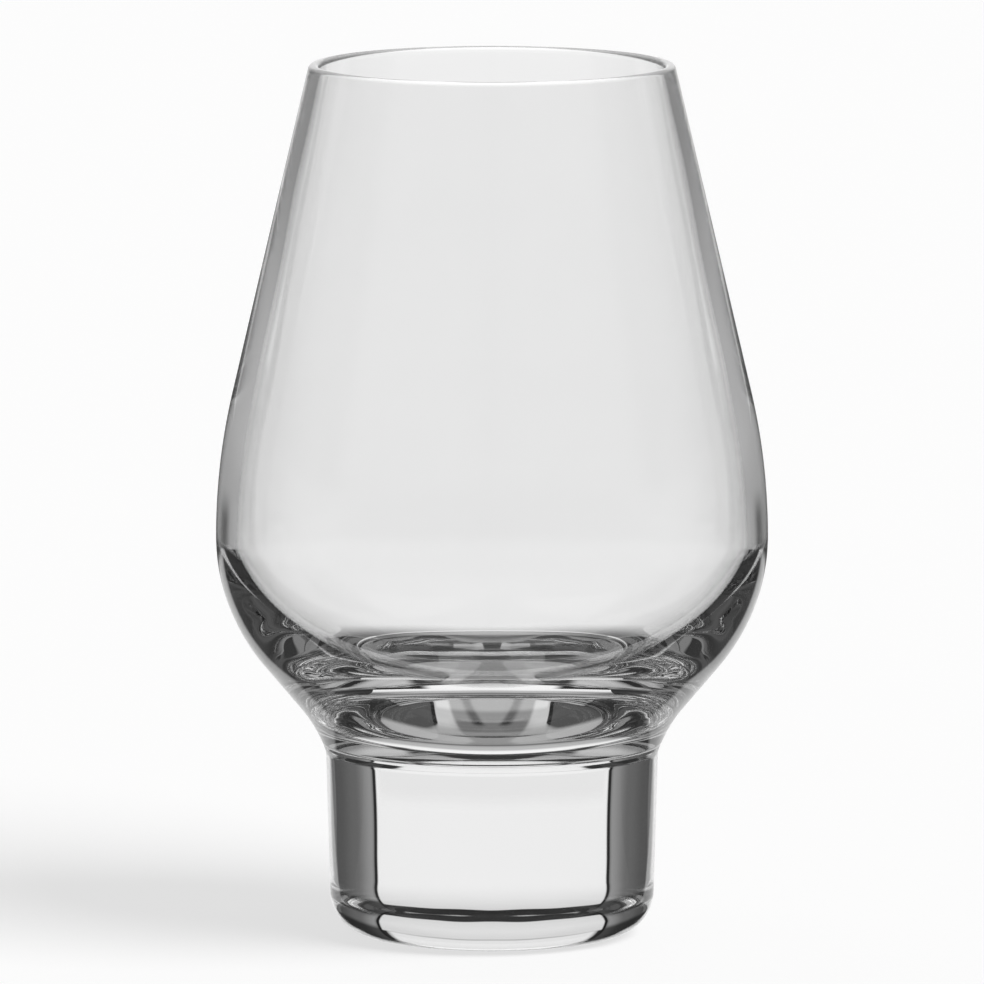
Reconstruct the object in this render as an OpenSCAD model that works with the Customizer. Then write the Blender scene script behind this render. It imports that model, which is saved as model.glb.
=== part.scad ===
// Whisky nosing glass: a blown tulip bowl fused to a heavy solid foot.
// Lengths are in millimetres and angles in degrees. The glass stands on z = 0, and its axis is Z.

/* [Bowl outside] */
// Height of the rim above the table
rim_z = 120; // [112:1:135]
// Outside diameter of the rim
rim_d = 50.3; // [44:0.1:58]
// Outside diameter of the belly, the widest ring
belly_d = 75.7; // [66:0.1:86]
// Radius of the arc that rises from the belly into the straight chimney
shoulder_r = 86.5; // [60:0.5:110]
// Radius of the arc under the belly, down to the cone
under_r = 27.3; // [20:0.1:34]
// Slope of the cone under the bowl, measured from upright
cone_a = 40.2; // [34:0.1:46]

/* [Bowl inside] */
// Thickness of the fire-polished lip
lip_t = 1.5; // [1:0.1:2.2]
// Thickness of the wall at the belly
belly_t = 2.8; // [1.8:0.1:3.6]
// Thickness of the glass between the fused seam and the inside floor, on the axis
floor_t = 4; // [3:0.1:10]
// Squareness of the inside bottom: 2 is half an ellipse, and more is squarer
bottom_n = 1.9; // [1.7:0.05:2.6]

/* [Foot] */
// Diameter that the side of the foot has at the table, before its edge is rounded
foot_d = 44.2; // [38:0.1:52]
// Taper of the side of the foot, measured from upright
foot_taper_a = 1.65; // [0:0.05:4]
// Radius of the rounded bottom edge
foot_edge_r = 5.9; // [3:0.1:9]

/* [Neck] */
// Height of the centre of the tight hollow between the foot and the bowl
neck_z = 24.8; // [18:0.1:28]
// Radius of the tight hollow at the top of the foot
neck_r = 2; // [1:0.1:5]
// Slope at which the tight hollow becomes the wide one, measured from upright
flare_a = 20; // [10:0.5:21]
// Radius of the wide hollow that runs up into the cone
flare_r = 20; // [12:0.5:28]
// Place of the fused seam on the wide hollow, as the slope there
seam_a = 22.5; // [22:0.25:30]
// Width of the fine groove that shows where the two pieces were fused
seam_w = 0.6; // [0.2:0.05:1.2]
// Depth of that groove
seam_d = 0.12; // [0.04:0.01:0.3]

/* [Hidden] */
$fn = 128;
// Largest turn between two points of an arc
arc_step = 2.5;
// Shares of the overhang of the belly past the foot that the arc under the belly and the two hollows may take
under_share = 0.66;
flare_share = 0.27;
neck_share = 0.04;

glass = [0.90, 0.92, 0.92, 0.45];

// Points of an arc in the half-plane of radius and height. The angle is measured upwards from outwards.
// skip = 1 leaves out the first point, where the curve before it already ends there.
function arc(centre, r, from, to, skip = 0) =
    let (steps = max(2, ceil(abs(to - from) / arc_step)))
    [for (i = [skip:steps]) let (a = from + (to - from) * i / steps) centre + r * [cos(a), sin(a)]];

// Angle of the outward normal of a straight line that leaves a lower arc and reaches a higher point,
// which keeps a given distance from the line. gap is the arc's radius less that distance.
function tangent_a(centre, point, gap) =
    let (v = point - centre) atan2(v[1], v[0]) - acos(gap / norm(v));

// Foot: the rounded edge touches the table and the tapered side
edge_c = [foot_d / 2 - foot_edge_r * (1 - sin(foot_taper_a)) / cos(foot_taper_a), foot_edge_r];
side_r = foot_d / 2 + neck_z * tan(foot_taper_a);

// Overhang: the arcs beside the cone keep their radius while the belly leaves room for them
belly_r = belly_d / 2;
overhang = belly_r - side_r;
under = min(under_r, under_share * overhang / (1 - cos(cone_a)));
flare = min(flare_r, flare_share * overhang / (cos(flare_a) - cos(cone_a)));
neck = min(neck_r, neck_share * overhang / (1 / cos(foot_taper_a) - cos(flare_a)));

// Neck: the tight hollow touches the side of the foot, and the wide hollow goes on from it without a corner
neck_c = [side_r + neck / cos(foot_taper_a), neck_z];
flare_c = neck_c + (flare - neck) * [cos(flare_a), -sin(flare_a)];
seam_z = flare_c[1] + flare * sin(seam_a);

// Groove: its two sides leave the wide hollow below and above the seam, and meet at the groove's bottom
groove_a = min(asin(seam_w / 2 / flare), (seam_a - flare_a) / 2, (cone_a - seam_a) / 2);
seam_r = flare_c[0] - flare * cos(seam_a) - seam_d;

// Cone: it runs from the wide hollow to the arc that ends upright at the belly
cone_l = (belly_r - under * (1 - cos(cone_a)) - flare_c[0] + flare * cos(cone_a)) / sin(cone_a);
belly_z = flare_c[1] + (flare + under) * sin(cone_a) + cone_l * cos(cone_a);
under_c = [belly_r - under, belly_z];

// Lip: a round that joins the outside to the inside
lip_r = lip_t / 2;
lip_c = [rim_d / 2 - lip_r, rim_z - lip_r];

// Chimney: straight walls, outside and inside, from the two shoulder arcs to the lip.
// The arcs have one centre and keep their radius while the chimney leaves room for them.
lip_in = belly_r - lip_c[0];
lip_up = lip_c[1] - belly_z;
lip_gap = min(lip_r, belly_t - lip_r);
shoulder = min(shoulder_r, 0.98 * (lip_in ^ 2 + lip_up ^ 2 - lip_gap ^ 2) / (2 * (lip_in - lip_gap)));
shoulder_c = [belly_r - shoulder, belly_z];
inner_shoulder = shoulder - belly_t;
chimney_a = tangent_a(shoulder_c, lip_c, shoulder - lip_r);
inner_chimney_a = tangent_a(shoulder_c, lip_c, inner_shoulder + lip_r);

// Bottom: half a squared ellipse across the inside, from the belly down to the floor on the axis
inner_r = belly_r - belly_t;
depth = belly_z - seam_z - floor_t;
bottom_steps = 36;
bottom = [for (i = [1:bottom_steps]) let (a = 90 * i / bottom_steps)
    [inner_r * cos(a) ^ (2 / bottom_n), belly_z - depth * sin(a) ^ (2 / bottom_n)]];

// Bowl: its outside from the seam to the lip, then its inside from the lip to the axis
module bowl() {
    color(glass)
        rotate_extrude()
            polygon(concat(
                [[0, seam_z], [seam_r, seam_z]],
                arc(flare_c, flare, 180 - seam_a - groove_a, 180 - cone_a),
                arc(under_c, under, -cone_a, 0),
                arc(shoulder_c, shoulder, 0, chimney_a, skip = 1),
                arc(lip_c, lip_r, chimney_a, 180 + inner_chimney_a),
                arc(shoulder_c, inner_shoulder, inner_chimney_a, 0),
                bottom
            ));
}

// Foot: one solid plug, flat underneath, whose top is the seam
module foot() {
    color(glass)
        rotate_extrude()
            polygon(concat(
                [[0, 0]],
                arc(edge_c, foot_edge_r, -90, -foot_taper_a),
                arc(neck_c, neck, 180 - foot_taper_a, 180 - flare_a),
                arc(flare_c, flare, 180 - flare_a, 180 - seam_a + groove_a, skip = 1),
                [[seam_r, seam_z], [0, seam_z]]
            ));
}

bowl();
foot();
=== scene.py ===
import math

import bpy
import numpy as np
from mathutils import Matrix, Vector


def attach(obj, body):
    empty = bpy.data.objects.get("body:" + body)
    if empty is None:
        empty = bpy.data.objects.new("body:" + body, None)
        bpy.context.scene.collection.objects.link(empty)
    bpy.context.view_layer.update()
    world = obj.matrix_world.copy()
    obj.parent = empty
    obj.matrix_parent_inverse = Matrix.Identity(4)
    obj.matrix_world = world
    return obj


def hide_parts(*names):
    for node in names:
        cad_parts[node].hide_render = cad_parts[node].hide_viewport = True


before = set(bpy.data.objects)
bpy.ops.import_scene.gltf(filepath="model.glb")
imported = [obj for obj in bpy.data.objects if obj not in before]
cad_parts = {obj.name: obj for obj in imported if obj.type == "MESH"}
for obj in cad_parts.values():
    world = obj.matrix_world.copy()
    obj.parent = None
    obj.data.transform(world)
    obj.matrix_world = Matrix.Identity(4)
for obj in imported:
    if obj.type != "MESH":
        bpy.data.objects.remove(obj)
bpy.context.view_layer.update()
scene = bpy.context.scene


class Wire:
    # a socket in a node tree; sums of wires and numbers add Math nodes
    def __init__(self, tree, socket=None):
        self.tree = tree
        self.socket = socket

    def node(self, kind, settings=None, inputs=None, output=0):
        made = self.tree.nodes.new(kind)
        for name, value in (settings or {}).items():
            setattr(made, name, value)
        for name, value in (inputs or {}).items():
            if isinstance(value, Wire):
                self.tree.links.new(value.socket, made.inputs[name])
            else:
                made.inputs[name].default_value = value
        return Wire(self.tree, made.outputs[output] if len(made.outputs) else None)

    def math(self, operation, first, second=0.0):
        return self.node("ShaderNodeMath", {"operation": operation}, {0: first, 1: second})

    def __add__(self, other):
        return self.math("ADD", self, other)

    def __radd__(self, other):
        return self.math("ADD", other, self)

    def __sub__(self, other):
        return self.math("SUBTRACT", self, other)

    def __rsub__(self, other):
        return self.math("SUBTRACT", other, self)

    def __mul__(self, other):
        return self.math("MULTIPLY", self, other)

    def __rmul__(self, other):
        return self.math("MULTIPLY", other, self)

    def __truediv__(self, other):
        return self.math("DIVIDE", self, other)

    def __rtruediv__(self, other):
        return self.math("DIVIDE", other, self)

    def __abs__(self):
        return self.math("ABSOLUTE", self)

    def step(self, low, high, start=0.0, end=1.0):
        # smooth step from start to end as the wire goes from low to high
        return self.node("ShaderNodeMapRange", {"interpolation_type": "SMOOTHSTEP"},
                         {"Value": self, "From Min": low, "From Max": high, "To Min": start, "To Max": end})

    def axis(self, name):
        return self.node("ShaderNodeSeparateXYZ", None, {0: self}, name)

    def grey(self):
        return self.node("ShaderNodeCombineColor", None, {"Red": self, "Green": self, "Blue": self})

    def moreThan(self, depth, count):
        # 1 for light with more than count steps of a kind behind it
        return self.math("GREATER_THAN", self.node("ShaderNodeLightPath", output=depth), count + 0.5)

    def mirrored(self):
        # 1 for light that the glass has mirrored, 0 for light that only passed through it
        return self.moreThan("Glossy Depth", 0)


def newMaterial(name):
    made = bpy.data.materials.new(name)
    made.use_nodes = True
    made.node_tree.nodes.clear()
    return made, Wire(made.node_tree)


def meshObject(name, vertices, faces):
    mesh = bpy.data.meshes.new(name)
    mesh.from_pydata(vertices, [], faces)
    mesh.polygons.foreach_set("use_smooth", np.ones(len(mesh.polygons), bool))
    mesh.update()
    made = bpy.data.objects.new(name, mesh)
    scene.collection.objects.link(made)
    return made


# Glass: lengths in millimetres and angles in degrees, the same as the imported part
glassShape = {
    "rimHeight": 120.0, "rimWidth": 50.3, "bellyWidth": 75.7,
    "shoulderRadius": 86.5, "underRadius": 27.3, "coneAngle": 40.2,
    "lipThickness": 1.5, "bellyThickness": 2.8, "floorThickness": 4.0, "bottomSquareness": 1.9,
    "footWidth": 44.2, "footTaper": 1.65, "footEdgeRadius": 5.9,
    "neckHeight": 24.8, "neckRadius": 2.0, "flareAngle": 20.0, "flareRadius": 20.0,
    "seamAngle": 22.5, "seamWidth": 0.6, "seamDepth": 0.12,
}
# steps along each stretch of the profile, and round the axis
glassSteps = {
    "underside": 12, "edge": 30, "side": 24, "neck": 12, "lowFlare": 5, "seam": 3, "highFlare": 26,
    "cone": 8, "under": 30, "shoulder": 18, "chimney": 26, "lip": 22, "bottom": 70, "turns": 288,
}


def arcPoints(centre, radius, start, end, count):
    # points on a circle about a centre, at even steps of the angle, with both ends
    angles = np.radians(np.linspace(start, end, count + 1))
    return np.column_stack([centre[0] + radius * np.cos(angles), centre[1] + radius * np.sin(angles)])


def linePoints(start, end, count):
    # points between two ends, without the ends
    share = np.linspace(0, 1, count + 1)[1:-1, None]
    return np.array(start) + share * (np.array(end) - np.array(start))


def tangentAngle(centre, point, gap):
    # angle of the normal of the line from an arc to a point, at a given gap from the arc's centre
    away = np.array(point) - np.array(centre)
    return math.degrees(math.atan2(away[1], away[0]) - math.acos(gap / np.hypot(*away)))


def glassProfile(s, steps):
    # radius and height: out along the underside, up the outside to the lip, and down the inside to the floor
    taper, cone = math.radians(s["footTaper"]), math.radians(s["coneAngle"])
    bend, seamTurn = math.radians(s["flareAngle"]), math.radians(s["seamAngle"])
    footRadius, bellyRadius = s["footWidth"] / 2, s["bellyWidth"] / 2
    edge, neck, flare, under = s["footEdgeRadius"], s["neckRadius"], s["flareRadius"], s["underRadius"]

    edgeCentre = (footRadius - edge * (1 - math.sin(taper)) / math.cos(taper), edge)
    neckCentre = (footRadius + s["neckHeight"] * math.tan(taper) + neck / math.cos(taper), s["neckHeight"])
    flareCentre = (neckCentre[0] + (flare - neck) * math.cos(bend),
                   neckCentre[1] - (flare - neck) * math.sin(bend))
    seam = (flareCentre[0] - flare * math.cos(seamTurn) - s["seamDepth"],
            flareCentre[1] + flare * math.sin(seamTurn))
    groove = math.degrees(math.asin(s["seamWidth"] / 2 / flare))
    coneStart = flareCentre[0] - flare * math.cos(cone)
    coneLength = (bellyRadius - under * (1 - math.cos(cone)) - coneStart) / math.sin(cone)
    bellyHeight = flareCentre[1] + (flare + under) * math.sin(cone) + coneLength * math.cos(cone)

    shoulder, innerShoulder = s["shoulderRadius"], s["shoulderRadius"] - s["bellyThickness"]
    shoulderCentre = (bellyRadius - shoulder, bellyHeight)
    lip = s["lipThickness"] / 2
    lipCentre = (s["rimWidth"] / 2 - lip, s["rimHeight"] - lip)
    outerTurn = tangentAngle(shoulderCentre, lipCentre, shoulder - lip)
    innerTurn = tangentAngle(shoulderCentre, lipCentre, innerShoulder + lip)

    edgeArc = arcPoints(edgeCentre, edge, -90, -s["footTaper"], steps["edge"])
    neckArc = arcPoints(neckCentre, neck, 180 - s["footTaper"], 180 - s["flareAngle"], steps["neck"])
    lowFlare = arcPoints(flareCentre, flare, 180 - s["flareAngle"], 180 - s["seamAngle"] + groove,
                         steps["lowFlare"])
    highFlare = arcPoints(flareCentre, flare, 180 - s["seamAngle"] - groove, 180 - s["coneAngle"],
                          steps["highFlare"])
    underArc = arcPoints((bellyRadius - under, bellyHeight), under, -s["coneAngle"], 0, steps["under"])
    shoulderArc = arcPoints(shoulderCentre, shoulder, 0, outerTurn, steps["shoulder"])
    lipArc = arcPoints(lipCentre, lip, outerTurn, 180 + innerTurn, steps["lip"])
    innerArc = arcPoints(shoulderCentre, innerShoulder, innerTurn, 0, steps["shoulder"])

    # inside bottom: half a squared ellipse, from the belly to the floor on the axis
    innerRadius = bellyRadius - s["bellyThickness"]
    depth = bellyHeight - seam[1] - s["floorThickness"]
    power = 2 / s["bottomSquareness"]
    turn = np.linspace(0, math.pi / 2, steps["bottom"] + 1)[1:-1]
    bottom = np.column_stack([innerRadius * np.cos(turn) ** power,
                              bellyHeight - depth * np.sin(turn) ** power])
    return np.concatenate([
        linePoints((0, 0), edgeArc[0], steps["underside"]), edgeArc,
        linePoints(edgeArc[-1], neckArc[0], steps["side"]), neckArc, lowFlare[1:],
        linePoints(lowFlare[-1], seam, steps["seam"]), [seam], linePoints(seam, highFlare[0], steps["seam"]),
        highFlare, linePoints(highFlare[-1], underArc[0], steps["cone"]), underArc,
        shoulderArc[1:], linePoints(shoulderArc[-1], lipArc[0], steps["chimney"]), lipArc,
        linePoints(lipArc[-1], innerArc[0], steps["chimney"]), innerArc, bottom,
    ]), bellyHeight - depth


# Waviness: two slow patterns by the count round the axis, the height of a wave and its shift;
# more of it at the rounded edge of the foot
glassWaves = {
    "ripple": 0.012, "slow": ((7, 6, 1), (13, 4, -1)),
    "baseRipple": 0.04, "base": ((11, 1.0), (17, 0.7)), "baseTop": 9, "baseFoot": 1.5, "fadeRadius": 20,
}


def waves(angles, radius, height):
    # sum of cosines, even about the middle of the front
    turn = angles + math.pi / 2
    slow = sum(np.cos(count * turn) * np.cos(height / rise + shift)
               for count, rise, shift in glassWaves["slow"])
    base = -sum(share * np.cos(count * turn) for count, share in glassWaves["base"])
    low = np.clip(1 - height / glassWaves["baseTop"], 0, 1) * np.clip(height / glassWaves["baseFoot"], 0, 1)
    fade = np.clip(radius / glassWaves["fadeRadius"], 0, 1)
    return (glassWaves["ripple"] * slow + glassWaves["baseRipple"] * low * base) * fade


def revolve(name, profile, lowPole, highPole, turns):
    # rings of the profile about Z, closed by one vertex on the axis at each end
    angles = np.linspace(0, 2 * math.pi, turns, endpoint=False)
    rings = len(profile)
    radius, height = profile[:, :1], profile[:, 1:]
    radius = radius + waves(angles, radius, height)
    grid = np.stack([radius * np.cos(angles), radius * np.sin(angles), height + 0 * angles], axis=-1)
    vertices = np.concatenate([grid.reshape(-1, 3), [[0, 0, lowPole], [0, 0, highPole]]]) / 1000
    ring, turn = np.meshgrid(np.arange(rings - 1), np.arange(turns), indexing="ij")
    following = (turn + 1) % turns
    quads = np.stack([ring * turns + turn, ring * turns + following,
                      (ring + 1) * turns + following, (ring + 1) * turns + turn], axis=-1).reshape(-1, 4)
    around = np.arange(turns)
    low = np.stack([around * 0 + rings * turns, (around + 1) % turns, around], axis=-1)
    last = (rings - 1) * turns
    high = np.stack([around * 0 + rings * turns + 1, last + around, last + (around + 1) % turns], axis=-1)
    return meshObject(name, vertices.tolist(), quads.tolist() + low.tolist() + high.tolist())


profile, floorHeight = glassProfile(glassShape, glassSteps)
glass = revolve("glass", profile, 0.0, floorHeight, glassSteps["turns"])
print("glass:", len(profile), "rings")

# Clear glass: faint clouds in its tint, faint swells in its surface
glassLook = {
    "ior": 1.52, "cloud": 0.02, "cloudScale": 55.0, "cloudDetail": 2.0,
    "swell": 0.03, "swellScale": 80.0, "swellHeight": 0.001,
    "lipStart": 0.1194, "lipEnd": 0.11995, "lipGlow": 0.3,
}
material, wire = newMaterial("clear_glass")
place = wire.node("ShaderNodeTexCoord", output="Object")
cloud = wire.node("ShaderNodeTexNoise", None, {
    "Vector": place, "Scale": glassLook["cloudScale"], "Detail": glassLook["cloudDetail"]}, "Fac")
swell = wire.node("ShaderNodeTexNoise", None, {
    "Vector": place, "Scale": glassLook["swellScale"], "Detail": 0.0}, "Fac")
bump = wire.node("ShaderNodeBump", None, {
    "Strength": glassLook["swell"], "Distance": glassLook["swellHeight"], "Height": swell})
# painted glow at the polished lip: faint emission that stands in for light that runs along the wall and
# comes out there
lipGlow = place.axis("Z").step(glassLook["lipStart"], glassLook["lipEnd"], 0, glassLook["lipGlow"])
shader = wire.node("ShaderNodeBsdfPrincipled", None, {
    "Base Color": (1 - cloud * glassLook["cloud"]).grey(), "Roughness": 0.0, "IOR": glassLook["ior"],
    "Transmission Weight": 1.0, "Emission Color": lipGlow.grey(), "Emission Strength": 1.0, "Normal": bump})
wire.node("ShaderNodeOutputMaterial", None, {"Surface": shader})
glass.data.materials.append(material)
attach(glass, "root")
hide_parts("bowl", "foot")
print("glass: clear")

# World: brightness by direction, in degrees. around is the angle from straight behind the glass, and rise
# the angle above level. An area runs from near to far around and from low to high, with soft edges.
# The other tuples are the values of a step.
panelHalf, frameWidth = 34.3, 1.3
frameEdge = panelHalf + frameWidth
studio = {
    "paintedShadow": 0.025,
    "sides": {"area": (frameEdge, 66, -14, 46, 1.5), "fade": (frameEdge, 46, 0.30, 0.14),
              "end": (46, 60, 0, 0.04), "top": (9, 16, 1, 0.2)},
    "flanks": {"area": (66, 130, -16, 12, 1), "fade": (95, 130, 0.22, 0.03)},
    "front": {"area": (100, 165, 2, 50, 5), "fade": (0, 25, 0.03, 0.085)},
    "strip": {"area": (0, 14, -44, -9, 2.5), "level": 1.0},
    "stripTop": {"area": (0, 18, -28, -9, 2), "level": 1.0},
    "panel": {"area": (0, panelHalf, -12, 15, 0.8), "passed": (-10, 16, 0.935, 0.72), "mirrored": 0.05},
    "highPanel": {"area": (0, panelHalf, 31.5, 45, 1.5), "level": 0.4},
    "panelFrame": {"area": (panelHalf, frameEdge, -14, 46, 0.3), "level": 0.01},
    "highSides": {"area": (28, 60, 48, 78, 3), "level": 0.5},
    "top": {"start": (76, 80), "level": 0.08},
    "frontTable": {"area": (105, 181, -91, -14, 6), "level": 0.25},
    "surround": {"low": (-13, -11), "far": (72, 78, 1, 0), "level": 0.97},
}
world = bpy.data.worlds.new("studio")
scene.world = world
world.use_nodes = True
world.node_tree.nodes.clear()
wire = Wire(world.node_tree)
direction = wire.node("ShaderNodeTexCoord", output="Generated")
around = abs(wire.math("ARCTAN2", direction.axis("X"), direction.axis("Y"))) * (180 / math.pi)
rise = wire.math("ARCSINE", direction.axis("Z")) * (180 / math.pi)
# 1 for light that only passed through the glass, and 0 for light that it mirrored
straight = wire.moreThan("Transmission Depth", 0) * (1 - wire.mirrored())


def patch(near, far, low, high, soft):
    # 1 inside a range of around and rise, falling to 0 over soft degrees at its edges
    inside = rise.step(low - soft, low + soft) * rise.step(high - soft, high + soft, 1, 0)
    inside = inside * around.step(far - soft, far + soft, 1, 0)
    return inside if near <= 0 else inside * around.step(near - soft, near + soft)


def lay(under, mask, level):
    # the light so far, changed to a level where the mask is 1
    return under + mask * (level - under)


def layArea(under, name, level=None):
    # the same for an area of the studio, at its own level or a given one
    area = studio[name]
    return lay(under, patch(*area["area"]), area["level"] if level is None else level)


sides, panel, surround = studio["sides"], studio["panel"], studio["surround"]
sideLevel = (around.step(*sides["fade"]) - around.step(*sides["end"])) * rise.step(*sides["top"])
panelLevel = panel["mirrored"] + straight * (rise.step(*panel["passed"]) - panel["mirrored"])
light = layArea(rise * 0 + studio["paintedShadow"], "sides", sideLevel)
light = layArea(light, "flanks", around.step(*studio["flanks"]["fade"]))
light = layArea(light, "front", rise.step(*studio["front"]["fade"]))
light = layArea(light, "strip")
light = layArea(light, "stripTop")
light = layArea(light, "panel", panelLevel)
light = layArea(light, "highPanel")
light = layArea(light, "panelFrame")
light = layArea(light, "highSides")
light = lay(light, rise.step(*studio["top"]["start"]), studio["top"]["level"])
light = layArea(light, "frontTable")
# white all round for straight light, apart from the panel and the sides behind the glass
behind = rise.step(*surround["low"]) * around.step(*surround["far"])
light = lay(light, straight * (1 - behind), surround["level"])
shine = wire.node("ShaderNodeBackground", None, {"Color": light, "Strength": 1.0})
wire.node("ShaderNodeOutputWorld", None, {"Surface": shine})
print("world: studio")


def hideFrom(made, *rays):
    # keeps an object out of the named kinds of ray
    for ray in rays:
        setattr(made, "visible_" + ray, False)


# Floor, in metres: seen by the camera; the glass sees the world's own lower half instead
floorPaper = {"half": 12, "drop": 0.0002, "shade": 0.35, "glow": 0.715}
half, drop = floorPaper["half"], -floorPaper["drop"]
corners = [(-half, -half, drop), (half, -half, drop), (half, half, drop), (-half, half, drop)]
floor = meshObject("floor", corners, [(0, 1, 2, 3)])
material, wire = newMaterial("floor_paper")
shade = wire.node("ShaderNodeBsdfDiffuse", None, {"Color": (*[floorPaper["shade"]] * 3, 1)})
glow = wire.node("ShaderNodeEmission", None, {"Color": (1, 1, 1, 1), "Strength": floorPaper["glow"]})
both = wire.node("ShaderNodeAddShader", None, {0: shade, 1: glow})
wire.node("ShaderNodeOutputMaterial", None, {"Surface": both})
floor.data.materials.append(material)
hideFrom(floor, "transmission", "glossy")

# Wall, in metres: round and white, far from the glass, seen by the camera only
wallPaper = {"radius": 4.5, "low": -0.01, "high": 2, "sides": 64, "glow": 1.0}
count = wallPaper["sides"]
turn = np.linspace(0, 2 * math.pi, count, endpoint=False)
ring = np.column_stack([wallPaper["radius"] * np.cos(turn), wallPaper["radius"] * np.sin(turn), 0 * turn])
rings = np.concatenate([ring + [0, 0, wallPaper["low"]], ring + [0, 0, wallPaper["high"]]])
start = np.arange(count)
following = (start + 1) % count
wallFaces = np.column_stack([start, following, following + count, start + count])
wall = meshObject("wall", rings.tolist(), wallFaces.tolist())
material, wire = newMaterial("wall_paper")
glow = wire.node("ShaderNodeEmission", None, {"Color": (1, 1, 1, 1), "Strength": wallPaper["glow"]})
wire.node("ShaderNodeOutputMaterial", None, {"Surface": glow})
wall.data.materials.append(material)
hideFrom(wall, "transmission", "glossy", "diffuse", "shadow")
print("stage: floor and wall")

# Sheets that only the glass sees, in millimetres. Each has a draw function for its brightness and its
# cover, from the place across, the depth behind the axis and the height.


def standing(left, right, deep, low, high):
    # corners of an upright sheet that faces the front
    corners = [(left, deep, low), (right, deep, low), (right, deep, high), (left, deep, high)]
    return (np.array(corners) / 1000).tolist()


def lying(left, right, near, far, height):
    # corners of a level sheet
    corners = [(left, near, height), (right, near, height), (right, far, height), (left, far, height)]
    return (np.array(corners) / 1000).tolist()


def painted(name, corners, draw, through=True):
    # a plain sheet for the light through the glass, or for the light off its outside
    made = meshObject(name, corners, [(0, 1, 2, 3)])
    material, wire = newMaterial(name)
    place = wire.node("ShaderNodeTexCoord", output="Object")
    level, cover = draw(wire, *[place.axis(axis) * 1000 for axis in "XYZ"])
    colour = level if isinstance(level, Wire) else (level, level, level, 1)
    glow = wire.node("ShaderNodeEmission", None, {"Color": colour, "Strength": 1.0})
    gone = wire.node("ShaderNodeBsdfTransparent")
    mixed = wire.node("ShaderNodeMixShader", None, {0: cover, 1: gone, 2: glow})
    wire.node("ShaderNodeOutputMaterial", None, {"Surface": mixed})
    made.data.materials.append(material)
    hideFrom(made, "camera", "diffuse", "shadow", "glossy" if through else "transmission")


# Side cards: grey, lightest half way up, with a dark upright bar at the foot of each; for mirrored light
sideCards = {
    "behind": 120, "near": 30, "far": 200, "foot": 20, "high": 128,
    "innerFade": (30, 38), "lowFade": (24, 27),
    "grey": 0.42, "middle": (48, 66, 0, 0.07), "top": (68, 105, 0, 0.21), "inner": (60, 85, 0.1, 0),
    "barTop": (41, 50, 1, 0), "bar": (45, 85, 0.58, 0.06), "barOut": (88, 115, 0, 0.4),
}


def drawSide(wire, across, deep, high):
    card, out = sideCards, abs(across)
    level = card["grey"] + high.step(*card["middle"]) - high.step(*card["top"]) + out.step(*card["inner"])
    bar = out.step(*card["bar"]) + out.step(*card["barOut"])
    cover = out.step(*card["innerFade"]) * high.step(*card["lowFade"])
    return level + high.step(*card["barTop"]) * (bar - level), cover * wire.mirrored()


for side in (-1, 1):
    left, right = sorted((side * sideCards["near"], side * sideCards["far"]))
    painted("card", standing(left, right, sideCards["behind"], sideCards["foot"],
                             sideCards["high"]), drawSide)

# Low card: white, narrower at its top; for light that goes straight in and out of the foot or the neck
lowCard = {
    "behind": 42, "half": 8.8, "foot": 13, "high": 46, "lowFade": (13.5, 16.5),
    "level": (19, 22, 0.86, 0.94), "narrowing": (27, 44, 0, 4), "sideFade": (-1, 0.5, 1, 0),
}


def drawLow(wire, across, deep, high):
    card = lowCard
    out = abs(across) - (card["half"] - high.step(*card["narrowing"]))
    cover = high.step(*card["lowFade"]) * out.step(*card["sideFade"])
    once = 1 - wire.moreThan("Transmission Depth", 2)
    return high.step(*card["level"]), cover * once * (1 - wire.mirrored())


painted("low_card", standing(-lowCard["half"], lowCard["half"], lowCard["behind"], lowCard["foot"],
                             lowCard["high"]), drawLow)

# Mirror table: what the outside mirrors low down, white close behind the glass, dark at the sides and far
mirrorTable = {
    "half": 1500, "near": 10, "far": 1500, "height": -0.5,
    "nearHalf": 36, "nearFade": (0.42, 0.54, 0.9, 0.07), "blend": (285, 345),
    "grey": 0.1, "farLight": (950, 1450, 0, 0.6), "farFade": (0.15, 0.4, 1, 0),
}


def drawMirror(wire, across, deep, high):
    table, out = mirrorTable, abs(across)
    near = ((out - table["nearHalf"]) / deep).step(*table["nearFade"])
    far = table["grey"] + deep.step(*table["farLight"]) * (out / deep).step(*table["farFade"])
    return near + deep.step(*table["blend"]) * (far - near), 1.0


painted("mirror", lying(-mirrorTable["half"], mirrorTable["half"], mirrorTable["near"], mirrorTable["far"],
                        mirrorTable["height"]), drawMirror, through=False)

# Far card: what the outside mirrors beyond the table, light in the middle, and wider low down
farCard = {
    "half": 1500, "behind": 1500, "foot": -0.5, "high": 600,
    "widening": (20, 45, 150, 0), "fade": (320, 680, 0.75, 0.1), "rise": (30, 90, 1, 0.8),
}


def drawFar(wire, across, deep, high):
    out = abs(across) - high.step(*farCard["widening"])
    return out.step(*farCard["fade"]) * high.step(*farCard["rise"]), 1.0


painted("far", standing(-farCard["half"], farCard["half"], farCard["behind"], farCard["foot"],
                        farCard["high"]), drawFar, through=False)

# Back table: a light wedge on the table behind the foot, with painted shadow close behind the foot that
# brightens farther back; its far end is for mirrored light only
backTable = {
    "half": 42, "near": 21, "far": 80, "height": -0.4,
    "point": 19, "wedge": (0.683, 0.687, 1, 0), "end": (61.9, 62.1),
    "paintedShadow": (22, 34, 0.05, 0.18), "light": (32, 60, 0, 0.79),
    "spot": (3, 9, 0.28, 0), "spotStart": (29, 33), "spotEnd": (36, 46, 1, 0),
}


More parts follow.
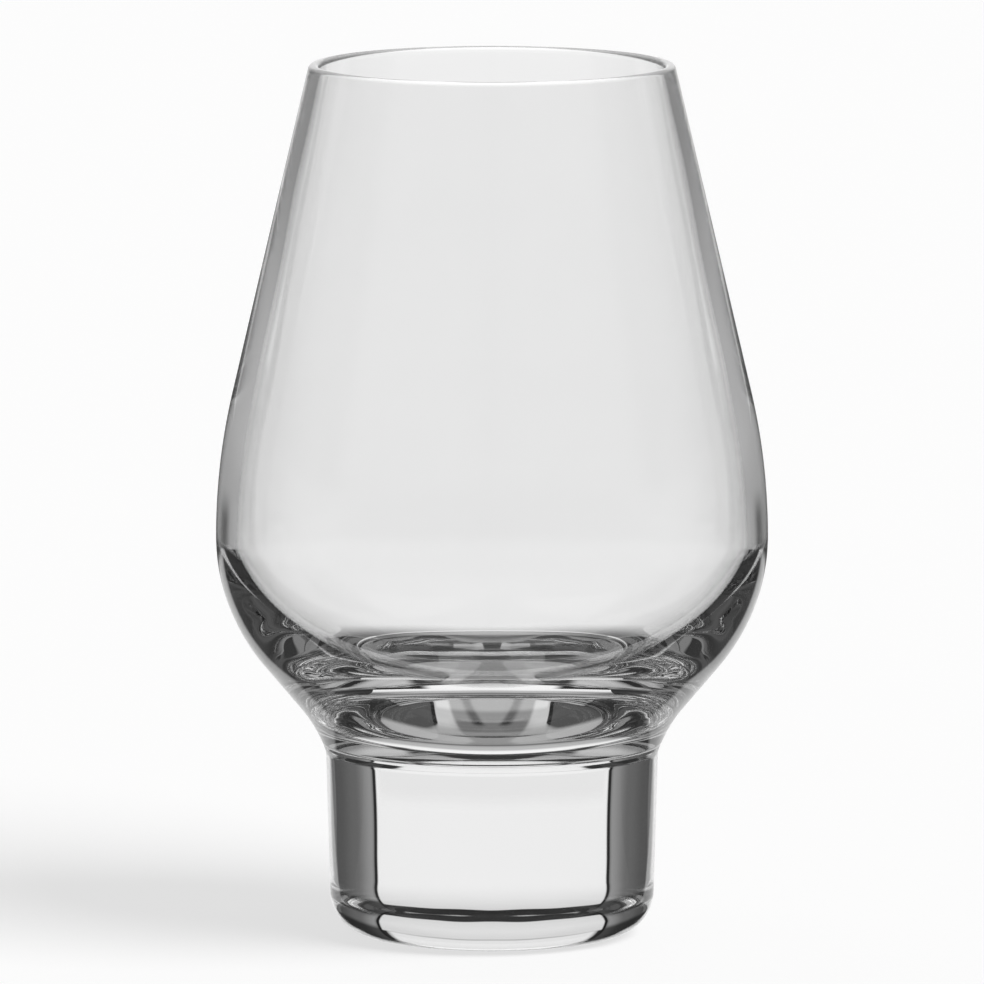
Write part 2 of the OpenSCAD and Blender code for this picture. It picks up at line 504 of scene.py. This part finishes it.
def drawTable(wire, across, deep, high):
    table, out = backTable, abs(across)
    spot = out.step(*table["spot"]) * deep.step(*table["spotStart"]) * deep.step(*table["spotEnd"])
    # painted shadow on the table close behind the foot, brightening farther back
    level = deep.step(*table["paintedShadow"]) + deep.step(*table["light"]) + spot
    cover = (out / (deep - table["point"])).step(*table["wedge"])
    return level, cover * (1 - deep.step(*table["end"]) * (1 - wire.mirrored()))


painted("table", lying(-backTable["half"], backTable["half"], backTable["near"], backTable["far"],
                       backTable["height"]), drawTable)

# Side table: two light places, for light that runs round inside the wall of the shoulder
sideTable = {
    "half": 75, "near": 120, "far": 190, "height": -0.4, "level": 0.5,
    "inner": (40, 46), "outer": (66, 71, 1, 0), "start": (122, 129), "end": (182, 189, 1, 0),
}


def drawSideTable(wire, across, deep, high):
    table, out = sideTable, abs(across)
    cover = out.step(*table["inner"]) * out.step(*table["outer"])
    cover = cover * deep.step(*table["start"]) * deep.step(*table["end"])
    return table["level"], cover * wire.mirrored()


painted("side_table", lying(-sideTable["half"], sideTable["half"], sideTable["near"], sideTable["far"],
                            sideTable["height"]), drawSideTable)

# Contact: painted shade and painted caustic light on the table under the foot, by the distance to the side:
# a grey strip of painted caustic light with darker strokes and a lighter band, and a deep painted contact
# shadow beyond it
contact = {
    "half": 30, "height": -0.3, "round": (26, 30, 1, 0), "grey": 0.3, "skew": 0.2,
    "strokeStart": (1, 2.2), "strokeEnd": (2.8, 4.4, 1, 0), "strokeDepth": (-2, 4, 0.17, 0),
    "edge": (6.5, 7.5), "edgeDepth": (0, 9, 0.30, 0.14),
    "darkStart": 10.6, "darkSoft": 0.3, "darkSpread": (2, 12, 0, 4), "darkDepth": (8, 13, 1, 0.1),
    "darkDrop": 0.28, "outer": (11.5, 11.8, 0, 0.07),
    "shadeStart": (-3, 0), "shadeEnd": (7, 10, 0.12, 0), "shadeSide": (6, 9, 1, 0),
    "front": (-12, -8, 0.2, 0), "frontSide": (10, 10.6, 1, 0),
}


def drawContact(wire, across, deep, high):
    c = contact
    side = abs(across) + deep * c["skew"]
    strokes = side.step(*c["strokeStart"]) * side.step(*c["strokeEnd"]) * deep.step(*c["strokeDepth"])
    edge = side.step(*c["edge"]) * deep.step(*c["edgeDepth"])
    # painted contact shadow on the table beyond the strip of painted caustic light
    paintedShadow = ((side - c["darkStart"]) / (c["darkSoft"] + deep.step(*c["darkSpread"]))).step(0, 1)
    paintedShadow = paintedShadow * deep.step(*c["darkDepth"]) * (edge + c["darkDrop"])
    shade = deep.step(*c["shadeStart"]) * deep.step(*c["shadeEnd"]) * side.step(*c["shadeSide"])
    front = deep.step(*c["front"]) * side.step(*c["frontSide"])
    away = wire.math("SQRT", across * across + deep * deep)
    level = c["grey"] - strokes + edge - paintedShadow + side.step(*c["outer"]) - shade + front
    return level, away.step(*c["round"])


painted("contact", lying(-contact["half"], contact["half"], -contact["half"], contact["half"],
                         contact["height"]), drawContact)
print("stage: cards and tables for the glass")

# Key light: a wide soft sun from the right and the front
keyLight = {"strength": 2.9, "angle": 40, "from": (0.75, -0.5, 0.9)}
sun = bpy.data.objects.new("key", bpy.data.lights.new("key", "SUN"))
sun.data.energy = keyLight["strength"]
sun.data.angle = math.radians(keyLight["angle"])
sun.rotation_euler = Vector(keyLight["from"]).to_track_quat("Z", "Y").to_euler()
hideFrom(sun, "transmission", "glossy")
scene.collection.objects.link(sun)

# Camera: the photograph's angle, fitted to the outline of the glass
view = {"place": (0, -1.9, 0.31318), "aim": (0, 0, 0.0610), "lens": 511.34, "sensor": 36, "clipEnd": 50}
camera = bpy.data.objects.new("camera", bpy.data.cameras.new("camera"))
camera.data.sensor_width = view["sensor"]
camera.data.lens = view["lens"]
camera.data.clip_end = view["clipEnd"]
camera.location = view["place"]
camera.rotation_euler = (Vector(view["aim"]) - Vector(view["place"])).to_track_quat("-Z", "Y").to_euler()
scene.collection.objects.link(camera)
scene.camera = camera
print("key light and camera")

bounces = 128  # light can run round inside the wall dozens of times
scene.view_settings.view_transform = "Standard"
scene.cycles.max_bounces = bounces
scene.cycles.transmission_bounces = bounces
scene.cycles.glossy_bounces = bounces
scene.cycles.caustics_refractive = False
scene.cycles.caustics_reflective = False
